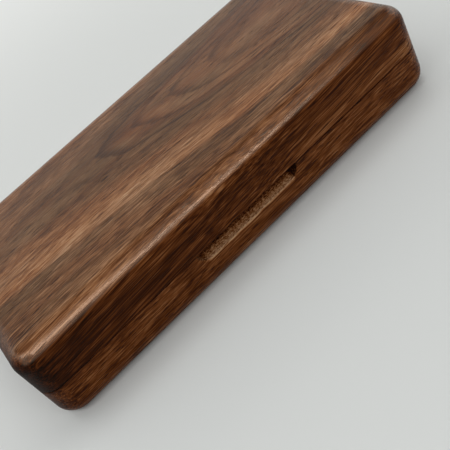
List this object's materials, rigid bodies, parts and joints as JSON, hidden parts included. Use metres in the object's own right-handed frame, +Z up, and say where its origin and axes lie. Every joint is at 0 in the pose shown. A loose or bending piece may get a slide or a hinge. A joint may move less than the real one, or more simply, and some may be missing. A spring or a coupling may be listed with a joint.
{
  "type": "fly box",
  "caption": "Flat wooden box with a hinged lid, rounded edges and corners, a finger recess at the front, hidden magnets and slit foam inserts that hold fishing flies.",
  "frame": {"origin": "centre of the flat face under the base", "axes": "+X runs to the right along the front, +Y to the back towards the hinges, +Z up"},
  "size_m": [0.178, 0.0984, 0.034],
  "materials": {
    "base_wood": "satin",
    "lid_wood": "satin",
    "foam": "matte",
    "adhesive_film": "matte",
    "magnet_plating": "polished",
    "hinge_brass": "satin",
    "pin_brass": "satin",
    "screw_brass": "polished"
  },
  "bodies": {
    "base": {"base_shell": "base_wood", "base_foam": "foam", "base_foam_film": "adhesive_film", "base_magnet_left": "magnet_plating", "base_magnet_right": "magnet_plating", "left_hinge_base_leaf": "hinge_brass", "left_hinge_base_screws": "screw_brass", "left_hinge_pin": "pin_brass", "right_hinge_base_leaf": "hinge_brass", "right_hinge_base_screws": "screw_brass", "right_hinge_pin": "pin_brass"},
    "lid": {"lid_shell": "lid_wood", "lid_foam": "foam", "lid_foam_film": "adhesive_film", "lid_magnet_left": "magnet_plating", "lid_magnet_right": "magnet_plating", "left_hinge_lid_leaf": "hinge_brass", "left_hinge_lid_screws": "screw_brass", "right_hinge_lid_leaf": "hinge_brass", "right_hinge_lid_screws": "screw_brass"}
  },
  "joints": [
    {"name": "lid_hinge", "type": "hinge", "parent": "base", "child": "lid", "pos_m": [0, 0.0493, 0.01605], "axis": [-1, 0, 0], "range_deg": [0, 165]}
  ]
}
